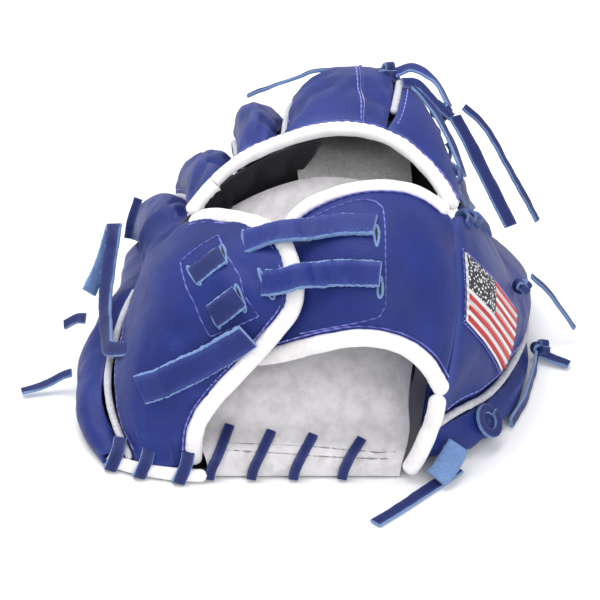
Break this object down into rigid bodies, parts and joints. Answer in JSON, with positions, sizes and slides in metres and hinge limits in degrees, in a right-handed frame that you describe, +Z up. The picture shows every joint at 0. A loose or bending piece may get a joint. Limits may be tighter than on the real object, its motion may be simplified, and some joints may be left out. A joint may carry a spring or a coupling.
{
  "type": "baseball fielding glove",
  "caption": "Left-hand leather fielding glove with a strapped open back, stitched finger stalls, rolled binding, laced web and loose lace tails, resting palm down.",
  "frame": {"origin": "on the flat underside of the heel, mid width, at its front edge", "axes": "+X towards the thumb, +Y from the heel to the fingertips, +Z up away from the resting plane"},
  "size_m": [0.2707, 0.2965, 0.1247],
  "materials": {
    "palm_shell": "satin",
    "palm_pad": "matte",
    "heel_pad": "matte",
    "palm_lining": "satin",
    "index_lining": "satin",
    "pinky_back": "satin",
    "ring_back": "satin",
    "middle_back": "satin",
    "index_back": "satin",
    "index_wing": "satin",
    "knuckle_binding": "satin",
    "wing_binding": "satin",
    "pinky_welt": "matte",
    "ring_welt": "matte",
    "middle_welt": "matte",
    "index_welt": "matte",
    "wing_welt": "matte",
    "heel_stitch_1": "satin",
    "heel_stitch_2": "satin",
    "heel_stitch_3": "satin",
    "heel_stitch_4": "satin",
    "wing_lace_upper": "satin",
    "wing_lace_lower": "satin",
    "pinky_loop": "satin",
    "pinky_lace_end": "satin",
    "side_lace_end": "satin",
    "tail_left": "satin",
    "web_top_loop": "satin",
    "tail_web_thin": "satin",
    "thumb_back": "satin",
    "thumb_palm": "satin",
    "thumb_binding": "satin",
    "thumb_welt": "matte",
    "thumb_patch": "matte",
    "thumb_loop": "satin",
    "thumb_tongue": "matte",
    "rim_lace": "matte",
    "rim_lace_end": "satin",
    "tail_side": "satin",
    "web_index_half": "satin",
    "web_thumb_half": "satin",
    "web_center_lace": "satin",
    "wrist_strap": "satin",
    "strap_fleece": "matte",
    "strap_upper_binding": "satin",
    "strap_lower_binding": "satin",
    "strap_lace_upper": "satin",
    "strap_lace_lower": "satin",
    "wrist_tail": "satin",
    "tail_top": "satin",
    "tail_web_wide": "satin",
    "tail_heel": "satin"
  },
  "bodies": {
    "hand": {"palm_shell": "palm_shell", "palm_pad": "palm_pad", "heel_pad": "heel_pad", "palm_lining": "palm_lining", "index_lining": "index_lining", "pinky_back": "pinky_back", "ring_back": "ring_back", "middle_back": "middle_back", "index_back": "index_back", "index_wing": "index_wing", "knuckle_binding": "knuckle_binding", "wing_binding": "wing_binding", "pinky_welt": "pinky_welt", "ring_welt": "ring_welt", "middle_welt": "middle_welt", "index_welt": "index_welt", "wing_welt": "wing_welt", "heel_stitch_1": "heel_stitch_1", "heel_stitch_2": "heel_stitch_2", "heel_stitch_3": "heel_stitch_3", "heel_stitch_4": "heel_stitch_4", "wing_lace_upper": "wing_lace_upper", "wing_lace_lower": "wing_lace_lower", "pinky_loop": "pinky_loop", "pinky_lace_end": "pinky_lace_end", "side_lace_end": "side_lace_end", "tail_left": "tail_left", "web_top_loop": "web_top_loop", "tail_web_thin": "tail_web_thin"},
    "thumb": {"thumb_back": "thumb_back", "thumb_palm": "thumb_palm", "thumb_binding": "thumb_binding", "thumb_welt": "thumb_welt", "thumb_patch": "thumb_patch", "thumb_loop": "thumb_loop", "thumb_tongue": "thumb_tongue", "rim_lace": "rim_lace", "rim_lace_end": "rim_lace_end", "tail_side": "tail_side"},
    "web": {"web_index_half": "web_index_half", "web_thumb_half": "web_thumb_half", "web_center_lace": "web_center_lace"},
    "strap": {"wrist_strap": "wrist_strap", "strap_fleece": "strap_fleece", "strap_upper_binding": "strap_upper_binding", "strap_lower_binding": "strap_lower_binding", "strap_lace_upper": "strap_lace_upper", "strap_lace_lower": "strap_lace_lower"},
    "wrist_tail": {"wrist_tail": "wrist_tail"},
    "top_tail": {"tail_top": "tail_top"},
    "web_tail": {"tail_web_wide": "tail_web_wide"},
    "heel_tail": {"tail_heel": "tail_heel"}
  },
  "joints": [
    {"name": "glove_close", "type": "hinge", "parent": "hand", "child": "thumb", "pos_m": [0.049, -0.005, 0.003], "axis": [0.1359, 0.8085, 0.5726], "range_deg": [0, 22]},
    {"name": "web_fold", "type": "hinge", "parent": "hand", "child": "web", "pos_m": [0.071, 0.092, 0.094], "axis": [-0.145, 0.9611, -0.235], "range_deg": [0, 30]},
    {"name": "strap_tighten", "type": "slide", "parent": "hand", "child": "strap", "axis": [-0.8602, 0.1, -0.5001], "range_m": [0, 0.003]},
    {"name": "wrist_tail_swing", "type": "hinge", "parent": "hand", "child": "wrist_tail", "pos_m": [-0.023, 0.0086, 0.067], "axis": [-0.463, 0.5368, 0.7053], "range_deg": [0, 35]},
    {"name": "top_tail_swing", "type": "hinge", "parent": "hand", "child": "top_tail", "pos_m": [0.042, 0.174, 0.117], "axis": [0.069, 0.9361, -0.3449], "range_deg": [0, 40]},
    {"name": "web_tail_swing", "type": "hinge", "parent": "hand", "child": "web_tail", "pos_m": [0.0755, 0.1475, 0.106], "axis": [-0.7068, -0.6955, 0.1293], "range_deg": [0, 30]},
    {"name": "heel_tail_swing", "type": "hinge", "parent": "thumb", "child": "heel_tail", "pos_m": [0.072, -0.002, 0.0016], "axis": [0, 0, 1], "range_deg": [-20, 25]}
  ],
  "couplings": [
    {"joint": "web_fold", "follows": "glove_close", "ratio": 1.2}
  ]
}
